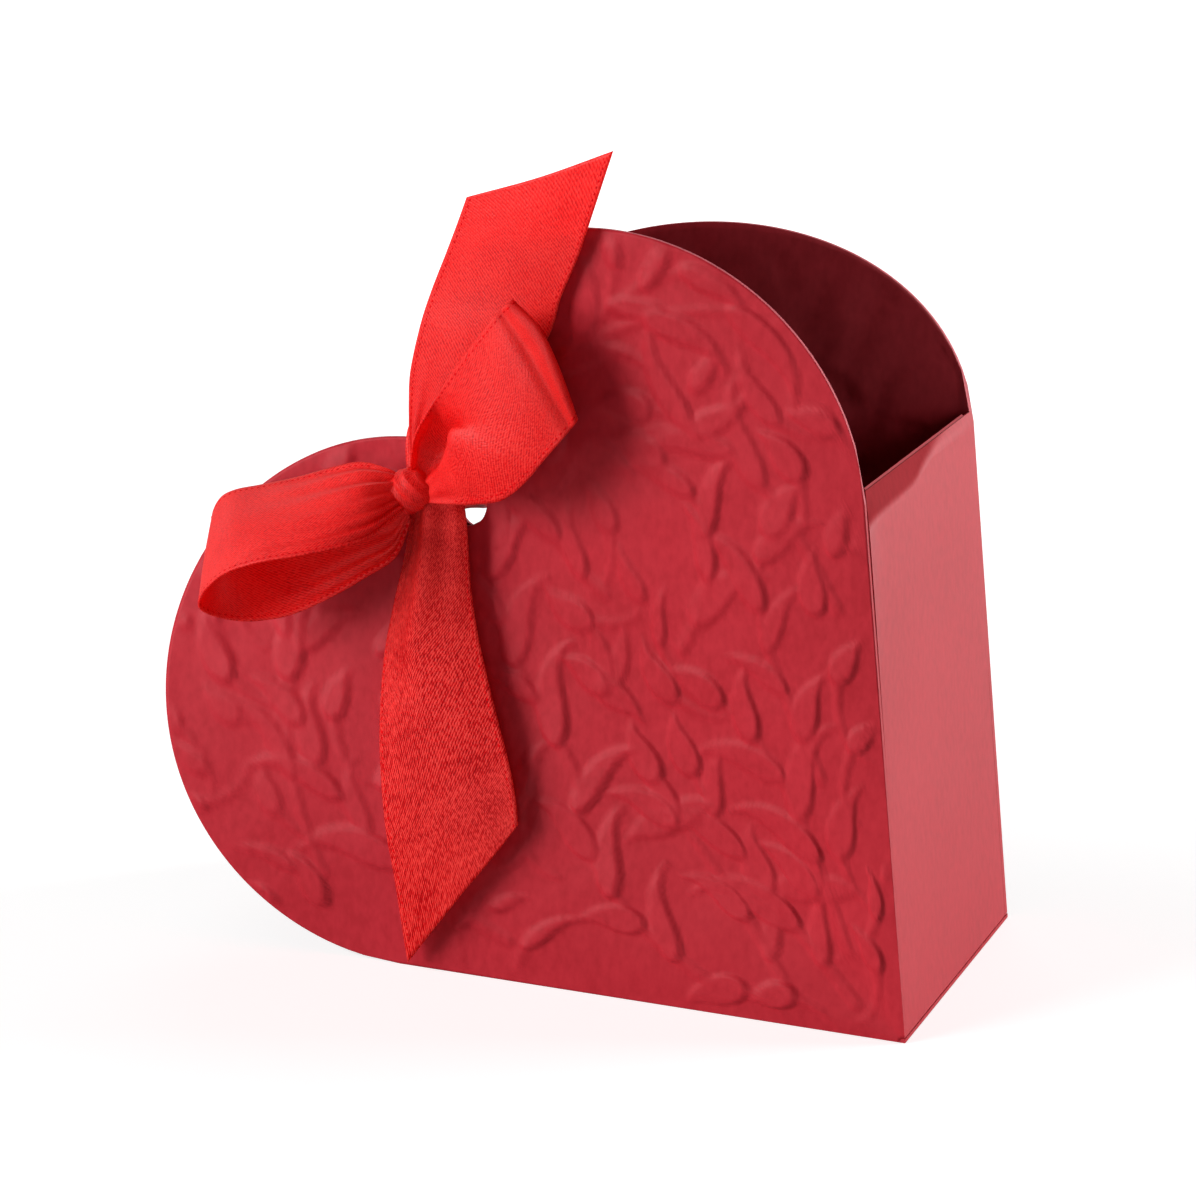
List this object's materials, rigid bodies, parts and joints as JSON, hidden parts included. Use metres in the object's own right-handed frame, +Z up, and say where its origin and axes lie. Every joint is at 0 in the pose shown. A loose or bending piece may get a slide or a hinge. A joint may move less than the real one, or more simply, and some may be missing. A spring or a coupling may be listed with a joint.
{
  "type": "valentine heart box",
  "caption": "Folded card favour box in the shape of a heart with embossed panels, tied at its cleft with a satin ribbon bow that passes through punched holes.",
  "frame": {"origin": "middle of the straight base wall's underside, halfway between front and back panels", "axes": "+X along the base towards the heart's point, +Y from the front panel to the back panel, +Z up"},
  "size_m": [0.075, 0.0479, 0.0791],
  "materials": {
    "card": "matte",
    "ribbon": "satin"
  },
  "bodies": {
    "box": {"front_panel": "card", "back_panel": "card", "base_wall": "card", "side_wall": "card", "side_glue_tab": "card", "corner_glue_tab": "card", "ribbon_band": "ribbon", "ribbon_knot": "ribbon", "ribbon_left_loop": "ribbon", "ribbon_right_loop": "ribbon"},
    "base_flap": {"base_flap": "card"},
    "side_flap": {"side_flap": "card"},
    "lower_tail": {"ribbon_lower_tail": "ribbon"},
    "upper_tail": {"ribbon_upper_tail": "ribbon"}
  },
  "joints": [
    {"name": "base_flap_crease", "type": "hinge", "parent": "box", "child": "base_flap", "pos_m": [-0.02619, 0, 0.00023], "axis": [0, -1, 0], "range_deg": [0, 90]},
    {"name": "side_flap_crease", "type": "hinge", "parent": "box", "child": "side_flap", "pos_m": [0.01898, 0, 0.05084], "axis": [0, 1, 0], "range_deg": [0, 90]},
    {"name": "upper_tail_swing", "type": "hinge", "parent": "box", "child": "upper_tail", "pos_m": [-0.02463, -0.01603, 0.04605], "axis": [0, -1, 0], "range_deg": [0, 30]},
    {"name": "lower_tail_lift", "type": "hinge", "parent": "box", "child": "lower_tail", "pos_m": [-0.02463, -0.01603, 0.04605], "axis": [-1, 0, 0], "range_deg": [0, 45]}
  ]
}
